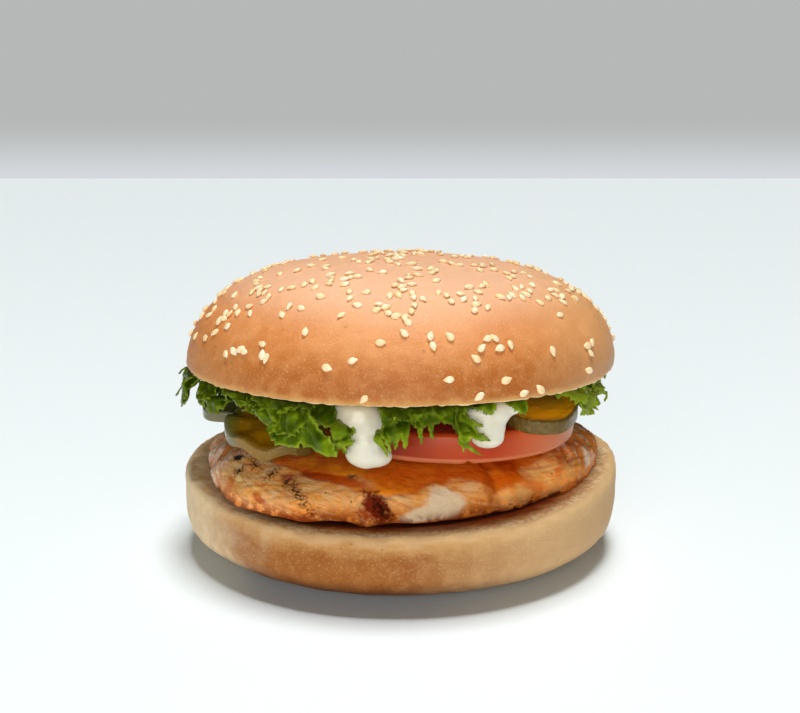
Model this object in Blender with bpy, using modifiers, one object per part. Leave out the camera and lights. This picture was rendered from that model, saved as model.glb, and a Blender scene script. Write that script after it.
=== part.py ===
"""A chicken burger: a split bun with a grilled fillet, tomato, pickles, lettuce and mayonnaise."""
import math

import bmesh
import bpy
from mathutils import Matrix, Vector

MM = 0.001
TURN = 2 * math.pi

# Bun, in millimetres. The heel is the lower half and the crown the upper half.
HEEL_RADIUS = 59.8
HEEL_BASE_RADIUS = 38.5
HEEL_WIDEST = 10.2
HEEL_RIM_RADIUS = 57.7
HEEL_RIM_FRONT = 19.4
HEEL_RIM_BACK = 24.0
HEEL_RIM_LEFT = 23.2
HEEL_RIM_RIGHT = 25.2
HEEL_DISH = 15.4
CROWN_RADIUS = 58.4
CROWN_EDGE_RADIUS = 57.2
CROWN_EDGE = 50.5
CROWN_WIDEST = 52.0
CROWN_TOP = 78.6
CROWN_APEX = (2.0, 0.8)
CROWN_LEAN = 1.1
BUN_SEGMENTS = 52

# Fillet.
FILLET_TOP = 32.0
FILLET_RISE_RIGHT = 1.6
FILLET_GAP = 0.7
FILLET_MIDDLE = 21.5
FILLET_SEGMENTS = 54
FILLET_RINGS = 13
# Reach of the fillet from the bun's axis, every 15 degrees from the right towards the back.
FILLET_REACH = (55.0, 54.0, 52.5, 51.0, 50.5, 50.5, 50.0, 50.0, 51.0, 52.0, 52.5, 53.0,
                53.0, 53.0, 54.5, 57.0, 55.0, 47.5, 45.2, 43.8, 42.6, 45.5, 51.5, 54.0)

# Tomato slice.
TOMATO_CENTRE = (15.5, -12.0)
TOMATO_RADIUS = 32.0
TOMATO_BOTTOM = 32.6
TOMATO_THICK = 7.7

# Pickle slices: centre, half width, half depth, height of the front edge, forward tilt.
PICKLE_THICK = 3.2
PICKLES = {
    "pickle_right": {"centre": (36.0, -30.6), "half": (9.8, 12.6), "front": 40.5, "tilt": 5.5},
    "pickle_left": {"centre": (-31.6, -24.0), "half": (13.4, 14.0), "front": 33.2, "tilt": 13.0},
    "pickle_far_left": {"centre": (-44.4, 3.0), "half": (11.4, 11.6), "front": 34.0, "tilt": 0.0},
}

# Lettuce leaves: the angles they span in degrees, how far they reach, how far their edge hangs.
LEAF_THICK = 1.0
LEAF_HEIGHT = 45.9
LEAF_FLAT_RADIUS = 43.0
LEAF_BACK_HANG = 4.5
LEAVES = {
    "lettuce_left": {"span": (100.5, 247), "inner": 13.0, "reach": 58.5, "hang": 5.2,
                     "ruffles": 8, "ruffle": 1.4, "cells": (54, 5)},
    "lettuce_front": {"span": (268, 287), "inner": 15.0, "reach": 51.0, "hang": 4.0,
                      "ruffles": 2, "ruffle": 1.1, "cells": (14, 5)},
    "lettuce_right": {"span": (-14, 99), "inner": 14.0, "reach": 59.5, "hang": 4.2,
                      "ruffles": 6, "ruffle": 1.4, "cells": (42, 5)},
}

# Mayonnaise: a thin pool under the crown, and the two drips that run down from it.
POOL_RADIUS = 43.0
POOL_BOTTOM = 47.6
POOL_THICK = 2.2
# Each drip: heights from top to bottom, with the middle across, middle in depth, half width, half depth.
DRIPS = {
    "left": ((49.7, -9.3, -43.5, 5.9, 8.5), (46.0, -9.2, -48.0, 5.4, 3.6),
             (41.0, -8.8, -48.2, 3.7, 2.9), (37.0, -7.4, -47.4, 4.7, 3.2), (32.5, -7.9, -46.8, 3.8, 2.6)),
    "right": ((49.7, 21.6, -43.0, 6.0, 9.2), (46.4, 21.0, -48.4, 4.6, 3.2),
              (42.4, 20.9, -48.4, 3.7, 2.6), (38.2, 21.2, -47.9, 2.9, 2.2)),
}


def smooth(value, low, high):
    """Rises from 0 at low to 1 at high, level at both ends."""
    t = min(1.0, max(0.0, (value - low) / (high - low)))
    return t * t * (3 - 2 * t)


def rim_height(angle):
    """Height of the heel's rim, which lies lowest in front and highest on the right."""
    back = math.sin(angle)
    right = math.cos(angle)
    sides = (HEEL_RIM_LEFT + HEEL_RIM_RIGHT) / 2
    slope = (HEEL_RIM_BACK - HEEL_RIM_FRONT) / 2
    dip = sides - (HEEL_RIM_BACK + HEEL_RIM_FRONT) / 2
    lean = (HEEL_RIM_RIGHT - HEEL_RIM_LEFT) / 2
    return sides + slope * back + lean * right - dip * back ** 2 - 0.9 * math.sin(2 * angle) ** 2


def heel_top(x, y):
    """Height of the heel's cut face, a shallow dish that climbs to the rim."""
    radius = math.hypot(x, y)
    rim = rim_height(math.atan2(y, x))
    return HEEL_DISH + (rim - HEEL_DISH) * smooth(radius, 36.0, HEEL_RIM_RADIUS)


def add_object(name, mesh, colour, roughness):
    """Puts a closed mesh into the burger's collection with a material of its own."""
    part = bpy.data.objects.new(name, mesh)
    burger.objects.link(part)
    for polygon in mesh.polygons:
        polygon.use_smooth = True
    material = bpy.data.materials.new(name)
    material.use_nodes = True
    shader = material.node_tree.nodes["Principled BSDF"]
    shader.inputs["Base Color"].default_value = (*colour, 1.0)
    shader.inputs["Roughness"].default_value = roughness
    mesh.materials.append(material)
    return part


def spun(name, profile):
    """The closed mesh a profile of (radius, height) makes when it turns about the vertical axis."""
    mesh = bpy.data.meshes.new(name)
    points = [(radius * MM, 0.0, height * MM) for radius, height in profile]
    mesh.from_pydata(points, [(i, i + 1) for i in range(len(points) - 1)], [])
    helper = bpy.data.objects.new(name + "_profile", mesh)
    bpy.context.scene.collection.objects.link(helper)
    screw = helper.modifiers.new("Turn", "SCREW")
    screw.axis = "Z"
    screw.steps = BUN_SEGMENTS
    screw.render_steps = BUN_SEGMENTS
    screw.use_merge_vertices = True
    screw.merge_threshold = 0.00001
    return applied(helper, name)


def applied(helper, name):
    """The mesh an object has once its modifiers are applied. The object itself is removed."""
    view = bpy.context.evaluated_depsgraph_get()
    view.update()
    result = bpy.data.meshes.new_from_object(helper.evaluated_get(view))
    result.name = name
    bpy.data.objects.remove(helper)
    return result


def moved(mesh, rule):
    """Moves every vertex of a mesh to where rule puts it. The rule works in millimetres."""
    for vertex in mesh.vertices:
        vertex.co = Vector(rule(*(vertex.co / MM))) * MM
    return mesh


def lump(name, segments, rings, rule):
    """A ball whose unit vertices are moved by rule, which answers in millimetres."""
    shape = bmesh.new()
    bmesh.ops.create_uvsphere(shape, u_segments=segments, v_segments=rings, radius=1.0)
    for vertex in shape.verts:
        vertex.co = Vector(rule(*vertex.co)) * MM
    bmesh.ops.recalc_face_normals(shape, faces=shape.faces)
    mesh = bpy.data.meshes.new(name)
    shape.to_mesh(mesh)
    shape.free()
    return mesh


def heel_profile():
    """Half section of the heel, from the middle of the cut face out, round the side and back under."""
    top = [(radius, HEEL_DISH + (HEEL_RIM_FRONT - HEEL_DISH) * smooth(radius, 36.0, HEEL_RIM_RADIUS))
           for radius in (0.0, 20.0, 36.0, 43.0, 49.0, 54.0, HEEL_RIM_RADIUS)]
    side = [(59.3, 17.8), (59.7, 14.0)]
    steps = 6
    for step in range(steps):
        turn = step / steps * math.pi / 2
        side.append((HEEL_BASE_RADIUS + (HEEL_RADIUS - HEEL_BASE_RADIUS) * math.cos(turn) ** 1.05,
                     HEEL_WIDEST * (1 - math.sin(turn) ** 1.04)))
    return top + side + [(HEEL_BASE_RADIUS, 0.0), (0.0, 0.0)]


def heel_lifted(x, y, z):
    """Raises the upper part of the heel so that its rim follows rim_height."""
    lift = rim_height(math.atan2(y, x)) - HEEL_RIM_FRONT
    radius = math.hypot(x, y)
    if z < HEEL_WIDEST + 0.1:
        return x, y, z + lift * smooth(z, 6.5, 11.4)
    return x, y, z + lift * smooth(radius, 36.0, HEEL_RIM_RADIUS)


def crown_profile():
    """Half section of the crown, from its top down the outer side to the cut face."""
    steps = 10
    side = []
    for step in range(steps + 1):
        across = math.sin(step / steps * math.pi / 2)
        rise = (1 - across ** 2.92) ** (1 / 1.98)
        side.append((CROWN_RADIUS * across, CROWN_WIDEST + (CROWN_TOP - CROWN_WIDEST) * rise))
    return side + [(58.1, 51.1), (CROWN_EDGE_RADIUS, CROWN_EDGE), (54.0, CROWN_EDGE), (0.0, CROWN_EDGE)]


def crown_settled(x, y, z):
    """Sets the dome off its middle, lower on the right, and lets the edge sag a little at the front right."""
    low = 1 - smooth(z, CROWN_EDGE, CROWN_WIDEST + 6)
    sag = 0.3 * math.cos(math.atan2(y, x) + 0.9)
    up = max(0.0, (z - CROWN_WIDEST) / (CROWN_TOP - CROWN_WIDEST))
    settled = z - low * sag * smooth(math.hypot(x, y), 40.0, 57.0) - CROWN_LEAN * up * x / CROWN_RADIUS
    return x + CROWN_APEX[0] * up, y + CROWN_APEX[1] * up, settled


def fillet_reach(angle):
    """Reach of the fillet at an angle, smoothly between the listed ones."""
    place = angle % TURN / TURN * len(FILLET_REACH)
    first = int(place)
    share = smooth(place - first, 0, 1)
    return FILLET_REACH[first % len(FILLET_REACH)] * (1 - share) + FILLET_REACH[(first + 1) % len(FILLET_REACH)] * share


def fillet_rule(x, y, z):
    """Swells a unit ball into the fillet: level on top, rounded at the side, lying in the heel."""
    angle = math.atan2(y, x)
    across = min(1.0, math.hypot(x, y)) ** (0.72 if z >= 0 else 0.3)
    reach = fillet_reach(angle)
    px = reach * across * math.cos(angle)
    py = reach * across * math.sin(angle)
    height = abs(z) ** 0.62
    middle = max(FILLET_MIDDLE, heel_top(reach * math.cos(angle), reach * math.sin(angle)) + 2 * FILLET_GAP)
    if z >= 0:
        top = FILLET_TOP + FILLET_RISE_RIGHT * smooth(px, 44.0, 54.0)
        return px, py, middle + (top - middle) * height
    floor = heel_top(px, py) + FILLET_GAP
    return px, py, middle + (floor - middle) * height


def slab(name, half, thick, segments, round_over, round_steps):
    """An elliptical slice with rounded edges, level, its middle at the origin."""
    shape = bmesh.new()
    bmesh.ops.create_cone(shape, cap_ends=True, cap_tris=False, segments=segments,
                          radius1=1.0, radius2=1.0, depth=thick * MM)
    bmesh.ops.scale(shape, vec=(half[0] * MM, half[1] * MM, 1.0), verts=shape.verts)
    rims = [edge for edge in shape.edges if abs(edge.verts[0].co.z - edge.verts[1].co.z) < 1e-6]
    bmesh.ops.bevel(shape, geom=rims, offset=round_over * MM, segments=round_steps, profile=0.5, affect="EDGES")
    mesh = bpy.data.meshes.new(name)
    shape.to_mesh(mesh)
    shape.free()
    return mesh


def pickle_mesh(name, centre, half, front, tilt):
    """A slice that leans forward, its lower front edge at the given height."""
    mesh = slab(name, half, PICKLE_THICK, 36, 0.6, 2)
    lean = math.radians(tilt)
    lift = front + half[1] * math.sin(lean) + PICKLE_THICK / 2 * math.cos(lean)
    mesh.transform(Matrix.Translation(Vector((*centre, lift)) * MM) @ Matrix.Rotation(lean, 4, "X"))
    return mesh


def leaf_mesh(name, span, inner, reach, hang, ruffles, ruffle, cells):
    """A leaf that lies level inside and ruffles and hangs at its outer edge."""
    shape = bmesh.new()
    bmesh.ops.create_grid(shape, x_segments=cells[0], y_segments=cells[1], size=1.0)
    start, end = (math.radians(value) for value in span)
    for vertex in shape.verts:
        along = (vertex.co.x + 1) / 2
        out = (vertex.co.y + 1) / 2
        angle = start + (end - start) * along
        wave = math.sin(along * ruffles * TURN)
        edge = reach * (1 - 0.10 * (2 * along - 1) ** 4) + 1.4 * wave
        radius = inner + (edge - inner) * out ** 0.8
        loose = smooth(radius, LEAF_FLAT_RADIUS, edge)
        drop = hang + LEAF_BACK_HANG * smooth(math.sin(angle), 0.2, 0.8)
        height = LEAF_HEIGHT - drop * loose ** 2 + ruffle * loose * math.cos(along * ruffles * TURN)
        vertex.co = Vector((radius * math.cos(angle), radius * math.sin(angle), height)) * MM
    mesh = bpy.data.meshes.new(name)
    shape.to_mesh(mesh)
    shape.free()
    helper = bpy.data.objects.new(name + "_sheet", mesh)
    bpy.context.scene.collection.objects.link(helper)
    thick = helper.modifiers.new("Thickness", "SOLIDIFY")
    thick.thickness = LEAF_THICK * MM
    thick.offset = 0.0
    return applied(helper, name)


def drip_rule(sections):
    """Stretches a unit ball down through the sections of a drip."""
    def rule(x, y, z):
        high, low = sections[0][0], sections[-1][0]
        height = low + (high - low) * (z + 1) / 2
        for upper, lower in zip(sections, sections[1:]):
            if height >= lower[0] - 1e-9:
                break
        share = smooth(height, lower[0], upper[0])
        middle, depth, wide, deep = (low_value + (high_value - low_value) * share
                                     for high_value, low_value in zip(upper[1:], lower[1:]))
        girth = max(math.sqrt(max(0.0, 1 - z * z)), 1e-9)
        end = math.sqrt(max(0.0, 1 - abs(z) ** (16 if z > 0 else 4)))
        return middle + wide * end * x / girth, depth + deep * end * y / girth, height
    return rule


def mayonnaise_mesh():
    """The pool with both drips joined to it."""
    helper = bpy.data.objects.new("pool", slab("pool", (POOL_RADIUS, POOL_RADIUS), POOL_THICK, 48, 0.9, 2))
    helper.data.transform(Matrix.Translation((0, 0, (POOL_BOTTOM + POOL_THICK / 2) * MM)))
    bpy.context.scene.collection.objects.link(helper)
    tools = []
    for name, sections in DRIPS.items():
        drip = bpy.data.objects.new("drip_" + name, lump("drip_" + name, 18, 16, drip_rule(sections)))
        bpy.context.scene.collection.objects.link(drip)
        join = helper.modifiers.new("Join", "BOOLEAN")
        join.operation = "UNION"
        join.solver = "EXACT"
        join.object = drip
        tools.append(drip)
    mesh = applied(helper, "mayonnaise")
    for drip in tools:
        bpy.data.objects.remove(drip)
    return mesh


for old in list(bpy.data.objects):
    bpy.data.objects.remove(old)
burger = bpy.data.collections.new("chicken_burger")
bpy.context.scene.collection.children.link(burger)

add_object("bun_heel", moved(spun("bun_heel", heel_profile()), heel_lifted), (0.66, 0.42, 0.20), 0.7)
add_object("bun_crown", moved(spun("bun_crown", crown_profile()), crown_settled), (0.62, 0.27, 0.09), 0.5)
add_object("chicken_fillet", lump("chicken_fillet", FILLET_SEGMENTS, FILLET_RINGS, fillet_rule),
           (0.72, 0.30, 0.08), 0.4)

tomato = slab("tomato_slice", (TOMATO_RADIUS, TOMATO_RADIUS), TOMATO_THICK, 48, 1.6, 3)
tomato.transform(Matrix.Translation(Vector((*TOMATO_CENTRE, TOMATO_BOTTOM + TOMATO_THICK / 2)) * MM))
add_object("tomato_slice", tomato, (0.60, 0.08, 0.04), 0.25)

for slice_name, sizes in PICKLES.items():
    add_object(slice_name, pickle_mesh(slice_name, **sizes), (0.28, 0.22, 0.03), 0.25)
for leaf_name, sizes in LEAVES.items():
    add_object(leaf_name, leaf_mesh(leaf_name, **sizes), (0.10, 0.28, 0.03), 0.4)
add_object("mayonnaise", mayonnaise_mesh(), (0.85, 0.80, 0.70), 0.2)
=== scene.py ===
import math
import random

import bpy
from mathutils import Matrix, Vector, geometry, noise
from mathutils.bvhtree import BVHTree


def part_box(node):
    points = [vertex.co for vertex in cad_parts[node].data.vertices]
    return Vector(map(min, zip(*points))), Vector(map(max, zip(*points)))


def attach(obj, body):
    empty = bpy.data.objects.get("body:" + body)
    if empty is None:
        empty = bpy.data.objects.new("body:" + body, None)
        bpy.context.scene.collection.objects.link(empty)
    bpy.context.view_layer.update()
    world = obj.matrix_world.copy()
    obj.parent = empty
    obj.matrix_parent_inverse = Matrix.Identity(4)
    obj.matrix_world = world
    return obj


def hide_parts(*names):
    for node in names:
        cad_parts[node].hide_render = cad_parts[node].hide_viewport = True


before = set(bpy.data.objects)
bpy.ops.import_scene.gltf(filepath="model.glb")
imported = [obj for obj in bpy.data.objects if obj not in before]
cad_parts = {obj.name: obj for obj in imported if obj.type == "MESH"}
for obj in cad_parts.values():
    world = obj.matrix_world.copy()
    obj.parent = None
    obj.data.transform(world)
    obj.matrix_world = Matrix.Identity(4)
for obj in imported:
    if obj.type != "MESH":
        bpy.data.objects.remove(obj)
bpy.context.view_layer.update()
print("frame loaded:", len(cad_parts), "nodes")

mm = 0.001
turn = 2 * math.pi
burger = "root"     # the one body of the frame


# small helpers for sizes, all in millimetres

def span(node):
    low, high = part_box(node)
    return low / mm, high / mm, (low + high) / 2 / mm


def smooth(value, low, high):
    t = min(1.0, max(0.0, (value - low) / (high - low)))
    return t * t * (3 - 2 * t)


def mix(a, b, share):
    return a + (b - a) * share


def polar(radius, angle):
    return radius * math.cos(angle), radius * math.sin(angle)


def bump(value, middle, width):
    return math.exp(-((value - middle) / width) ** 2)


def ripple(x, y, z, size, seed=0.0):
    return noise.noise(Vector((x / size + seed, y / size - seed, z / size + 2 * seed)))


def grit(x, y, z, size, octaves=4, seed=0.0):
    return noise.fractal(Vector((x / size + seed, y / size - seed, z / size + 2 * seed)), 1.0, 2.1, octaves)


# helpers for pieces

def deselect():
    if bpy.context.object and bpy.context.object.mode != "OBJECT":
        bpy.ops.object.mode_set(mode="OBJECT")
    bpy.ops.object.select_all(action="DESELECT")


def choose(*pieces):
    deselect()
    for piece in pieces:
        piece.select_set(True)
    bpy.context.view_layer.objects.active = pieces[0]


def started(name):
    piece = bpy.context.active_object
    piece.name = name
    piece.data.name = name
    bpy.ops.object.transform_apply(location=True, rotation=True, scale=True)
    return piece


def ballPiece(name, segments, rings, place=(0, 0, 0), scale=(1, 1, 1)):
    deselect()
    bpy.ops.mesh.primitive_uv_sphere_add(segments=segments, ring_count=rings, location=place, scale=scale)
    return started(name)


def gridPiece(name, across, along):
    deselect()
    bpy.ops.mesh.primitive_grid_add(x_subdivisions=across, y_subdivisions=along, size=2)
    return started(name)


def sculpt(piece, rule):
    for vertex in piece.data.vertices:
        vertex.co = Vector(rule(*vertex.co)) * mm
    piece.data.update()


def relief(piece, rule):
    normals = [vertex.normal.copy() for vertex in piece.data.vertices]
    for vertex, normal in zip(piece.data.vertices, normals):
        vertex.co += normal * rule(*(vertex.co / mm), vertex.index) * mm
    piece.data.update()


def modify(piece, kind, **values):
    choose(piece)
    modifier = piece.modifiers.new(kind.title(), kind)
    for key, value in values.items():
        setattr(modifier, key, value)
    bpy.ops.object.modifier_apply(modifier=modifier.name)


def joined(name, pieces):
    choose(*pieces)
    if len(pieces) > 1:
        bpy.ops.object.join()
    piece = bpy.context.active_object
    piece.name = piece.data.name = name
    return piece


def copied(piece, matrix=Matrix()):
    copy = piece.copy()
    copy.data = piece.data.copy()
    copy.data.transform(matrix)
    bpy.context.scene.collection.objects.link(copy)
    return copy


def paint(piece, name, values):
    layer = piece.data.attributes.new(name, "FLOAT", "POINT")
    layer.data.foreach_set("value", values)


def finishPiece(piece, material, slot, *nodes):
    choose(piece)
    bpy.ops.object.shade_smooth()
    piece.data.materials.clear()
    piece.data.materials.append(material)
    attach(piece, burger)
    if nodes:
        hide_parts(*nodes)
    print("piece:", piece.name, len(piece.data.polygons), "faces")


# helpers for materials

def plug(tree, value, socket):
    if isinstance(value, bpy.types.NodeSocket):
        tree.links.new(value, socket)
    else:
        socket.default_value = value


def addNode(tree, kind, inputs=None, **settings):
    made = tree.nodes.new("ShaderNode" + kind)
    for key, value in settings.items():
        setattr(made, key, value)
    for key, value in (inputs or {}).items():
        plug(tree, value, made.inputs[key])
    return made


def treeOf(*values):
    return next(value.id_data for value in values if isinstance(value, bpy.types.NodeSocket))


def blendColour(share, below, above):
    tree = treeOf(share, below, above)
    made = tree.nodes.new("ShaderNodeMix")
    made.data_type = "RGBA"
    plug(tree, share, made.inputs[0])
    plug(tree, below, made.inputs[6])
    plug(tree, above, made.inputs[7])
    return made.outputs[2]


def layered(tone, *layers):
    for share, tint in layers:
        tone = blendColour(share, tone, colour(*tint))
    return tone


def calc(way, first, second):
    return addNode(treeOf(first, second), "Math", {0: first, 1: second}, operation=way).outputs[0]


def times(*values):
    total = values[0]
    for value in values[1:]:
        total = calc("MULTIPLY", total, value)
    return total


def plus(*values):
    total = values[0]
    for value in values[1:]:
        total = calc("ADD", total, value)
    return total


def ramp(value, low, high, start=0.0, end=1.0):
    limits = {"Value": value, "From Min": low, "From Max": high, "To Min": start, "To Max": end}
    return addNode(treeOf(value), "MapRange", limits, interpolation_type="SMOOTHSTEP").outputs[0]


def colour(red, green, blue):
    def linear(part):
        part /= 255
        return part / 12.92 if part <= 0.04045 else ((part + 0.055) / 1.055) ** 2.4
    return (linear(red), linear(green), linear(blue), 1.0)


def newMaterial(name, settings):
    material = bpy.data.materials.new(name)
    material.use_nodes = True
    shader = material.node_tree.nodes["Principled BSDF"]
    for key, value in settings.items():
        shader.inputs[key].default_value = value
    return material, material.node_tree, shader


def axesOf(place):
    return addNode(treeOf(place), "SeparateXYZ", {0: place}).outputs[:]


def millimetres(tree):
    place = addNode(tree, "TexCoord").outputs["Object"]
    return addNode(tree, "VectorMath", {0: place, "Scale": 1 / mm}, operation="SCALE").outputs[0]


def painted(tree, name, output="Fac"):
    return addNode(tree, "Attribute", attribute_name=name).outputs[output]


def finish(shader, tone, height, depth, strength, roughness=None):
    tree = shader.id_data
    tree.links.new(tone, shader.inputs["Base Color"])
    if roughness:
        tree.links.new(roughness, shader.inputs["Roughness"])
    grainy = addNode(tree, "Bump", {"Strength": strength, "Distance": depth * mm, "Height": height})
    tree.links.new(grainy.outputs["Normal"], shader.inputs["Normal"])


def newGroup(name, inputs, outputs):
    group = bpy.data.node_groups.new(name, "ShaderNodeTree")
    for label, kind, value in inputs:
        socket = group.interface.new_socket(name=label, in_out="INPUT", socket_type="NodeSocket" + kind)
        if value is not None:
            socket.default_value = value
    for label, kind in outputs:
        group.interface.new_socket(name=label, in_out="OUTPUT", socket_type="NodeSocket" + kind)
    return group, group.nodes.new("NodeGroupInput").outputs, group.nodes.new("NodeGroupOutput").inputs


def divided(vector, size):
    return addNode(treeOf(vector), "VectorMath", {0: vector, 1: size}, operation="DIVIDE").outputs[0]


def useGroup(group, **inputs):
    tree = treeOf(*inputs.values())
    made = tree.nodes.new("ShaderNodeGroup")
    made.node_tree = group
    for key, value in inputs.items():
        plug(tree, value, made.inputs[key])
    return made.outputs["Mask"]


# shared effects: mottle is soft blotches, specks are separate dots, fibres are thin streaks, spot is one mark

mottle, given, result = newGroup("mottle", [
    ("Vector", "Vector", None), ("Size", "Float", 5.0), ("Low", "Float", 0.4), ("High", "Float", 0.6),
    ("Detail", "Float", 3.0)], [("Mask", "Float")])
scaled = divided(given["Vector"], given["Size"])
cloud = addNode(mottle, "TexNoise", {"Vector": scaled, "Scale": 1.0, "Detail": given["Detail"]})
mottle.links.new(ramp(cloud.outputs["Fac"], given["Low"], given["High"]), result["Mask"])

specks, given, result = newGroup("specks", [
    ("Vector", "Vector", None), ("Spacing", "Float", 2.0), ("Radius", "Float", 0.2), ("Share", "Float", 0.5)],
    [("Mask", "Float")])
scaled = divided(given["Vector"], given["Spacing"])
cells = addNode(specks, "TexVoronoi", {"Vector": scaled, "Scale": 1.0})
dot = ramp(cells.outputs["Distance"], given["Radius"], calc("MULTIPLY", given["Radius"], 0.5))
chance = addNode(specks, "SeparateColor", {"Color": cells.outputs["Color"]}).outputs[0]
kept = calc("LESS_THAN", chance, given["Share"])
specks.links.new(times(dot, kept), result["Mask"])

fibres, given, result = newGroup("fibres", [
    ("Vector", "Vector", None), ("Along", "Float", 12.0), ("Across", "Float", 0.7), ("Lean", "Float", 0.0)],
    [("Mask", "Float")])
turned = addNode(fibres, "VectorRotate", {"Vector": given["Vector"], "Angle": given["Lean"]},
                 rotation_type="Z_AXIS").outputs[0]
stretch = addNode(fibres, "CombineXYZ", {0: given["Along"], 1: given["Across"], 2: 1.0}).outputs[0]
scaled = divided(turned, stretch)
streaks = addNode(fibres, "TexNoise", {"Vector": scaled, "Scale": 1.0, "Detail": 3.0, "Distortion": 0.3})
fibres.links.new(streaks.outputs["Fac"], result["Mask"])

spot, given, result = newGroup("spot", [
    ("Vector", "Vector", None), ("Centre", "Vector", (0.0, 0.0, 0.0)), ("Size", "Vector", (5.0, 5.0, 5.0)),
    ("Lean", "Float", 0.0), ("Ragged", "Float", 0.3), ("Grain", "Float", 1.5)], [("Mask", "Float")])
toCentre = {0: given["Vector"], 1: given["Centre"]}
offset = addNode(spot, "VectorMath", toCentre, operation="SUBTRACT").outputs[0]
turned = addNode(spot, "VectorRotate", {"Vector": offset, "Angle": given["Lean"]},
                 rotation_type="Z_AXIS").outputs[0]
share = divided(turned, given["Size"])
far = addNode(spot, "VectorMath", {0: share}, operation="LENGTH").outputs["Value"]
scaled = divided(given["Vector"], given["Grain"])
grain = addNode(spot, "TexNoise", {"Vector": scaled, "Scale": 1.0, "Detail": 4.0}).outputs["Fac"]
shift = times(calc("SUBTRACT", grain, 0.5), given["Ragged"], 6.0)
outerEdge = calc("ADD", 1.0, times(given["Ragged"], 0.4))
innerEdge = calc("SUBTRACT", 0.7, times(given["Ragged"], 0.8))
spot.links.new(ramp(plus(far, shift), outerEdge, innerEdge), result["Mask"])


def soft(place, size, low, high, detail=3.0):
    return useGroup(mottle, Vector=place, Size=size, Low=low, High=high, Detail=detail)


print("shared effects ready")

# bun crown: a domed crust over a flat cut face

crownLow, crownHigh, _ = span("bun_crown")
crown = {"radius": (crownHigh.y - crownLow.y) / 2, "cutInset": 1.2, "cut": crownLow.z + 0.25,
         "widest": 1.55, "sideSharpness": 2.92, "domeSharpness": 1.98, "apexRight": 2.0, "apexBack": 0.8,
         "lean": 1.1, "segments": 300, "rings": 140, "domeShare": 0.6, "edgeShare": 0.25,
         "unevenness": 0.35, "dimples": 0.14, "wrinkles": 0.12, "ragged": 0.4}


def crownSurface(x, y, z):
    down = math.acos(max(-1.0, min(1.0, z))) / math.pi
    angle = math.atan2(y, x)
    widest = crown["cut"] + crown["widest"]
    dome, edge = crown["domeShare"], crown["edgeShare"]
    if down <= dome:
        across = math.sin(down / dome * math.pi / 2)
        rise = max(0.0, 1 - across ** crown["sideSharpness"]) ** (1 / crown["domeSharpness"])
        height = widest + (crownHigh.z - widest) * rise
        px, py = polar(crown["radius"] * across, angle)
        px += crown["apexRight"] * rise
        py += crown["apexBack"] * rise
        return px, py, height - crown["lean"] * rise * px / crown["radius"]
    under = (down - dome) / (1 - dome)
    turned = min(1.0, under / edge) * math.pi / 2
    radius = crown["radius"] - crown["cutInset"] * (1 - math.cos(turned))
    height = widest - crown["widest"] * math.sin(turned)
    if under > edge:
        radius *= 1 - (under - edge) / (1 - edge)
    return *polar(radius, angle), height


def crownRelief(x, y, z, index):
    low = 1 - smooth(z, crown["cut"] + 0.2, crown["cut"] + 1.2)
    reach = math.hypot(x, y)
    if low > 0.5 and reach < crown["radius"] - 1.8:
        return 0.25 * grit(x, y, 0, 2.6, 4, 1.0) - 0.2
    swell = crown["unevenness"] * ripple(x, y, z, 26, 3.1)
    swell += crown["dimples"] * ripple(x, y, z * 1.6, 6.5, 8.4)
    swell += crown["wrinkles"] * ripple(x, y, z * 3.6, 9, 2.2) * smooth(z, 76, 66)
    swell += 0.05 * ripple(x, y, z, 1.7, 5.0)
    return swell + crown["ragged"] * low * grit(x, y, 0, 1.6, 3, 2.0)


crownPiece = ballPiece("bun_crown_crust", crown["segments"], crown["rings"])
sculpt(crownPiece, crownSurface)
relief(crownPiece, crownRelief)

crust, tree, shader = newMaterial("baked_crust", {"Roughness": 0.45, "Specular IOR Level": 0.3})
place = millimetres(tree)
across, _, height = axesOf(place)
flattened = addNode(tree, "VectorMath", {0: place, 1: (0.35, 0.35, 1.0)}, operation="MULTIPLY").outputs[0]
blotch = soft(place, 24.0, 0.35, 0.68)
bands = soft(flattened, 3.2, 0.38, 0.68, 4.0)
cloudy = soft(place, 3.4, 0.38, 0.7, 5.0)
fleck = soft(place, 0.55, 0.56, 0.74, 1.0)
dots = useGroup(specks, Vector=place, Spacing=1.2, Radius=0.1, Share=0.45)
darkDots = useGroup(specks, Vector=place, Spacing=4.6, Radius=0.12, Share=0.3)
# lowBand: the side below the dome is darker and browner, partly baked crust and partly painted shade
lowBand = ramp(height, 66.0, 55.0)
edgeBand = ramp(plus(height, times(cloudy, -0.6)), 52.6, 50.4)
tone = blendColour(blotch, colour(218, 146, 88), colour(210, 132, 72))
tone = layered(tone,
               # painted highlight: paler towards the top for the sheen of the light from above
               (ramp(height, 65.0, 76.0, 0.0, 0.85), (244, 195, 160)),
               (times(lowBand, 0.9), (172, 92, 14)),
               (times(bands, lowBand, 0.2), (150, 74, 14)),
               (times(ramp(across, -22.0, -50.0, 0.0, 0.3), lowBand), (222, 158, 92)),
               # painted light: the right side is paler where more light falls
               (ramp(across, 24.0, 52.0, 0.0, 0.5), (224, 172, 114)),
               (times(cloudy, 0.22), (234, 172, 112)),
               (times(fleck, 0.25), (240, 190, 128)),
               (times(dots, 0.55), (248, 212, 160)),
               (times(darkDots, 0.4), (150, 84, 44)),
               (times(edgeBand, 0.7), (216, 162, 90)))
crumbMask = ramp(height, crown["cut"] + 0.45, crown["cut"] + 0.15)
tone = blendColour(crumbMask, tone, colour(232, 200, 148))
grainy = soft(place, 0.3, 0.4, 0.7, 2.0)
bumps = plus(times(grainy, 0.5), times(fleck, 0.6), bands, dots)
finish(shader, tone, bumps, 0.13, 0.7, ramp(cloudy, 0.0, 1.0, 0.4, 0.55))
finishPiece(crownPiece, crust, "bun", "bun_crown")

# sesame seeds: a teardrop modelled once, strewn in small groups, thick on top and thin down the sides

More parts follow.
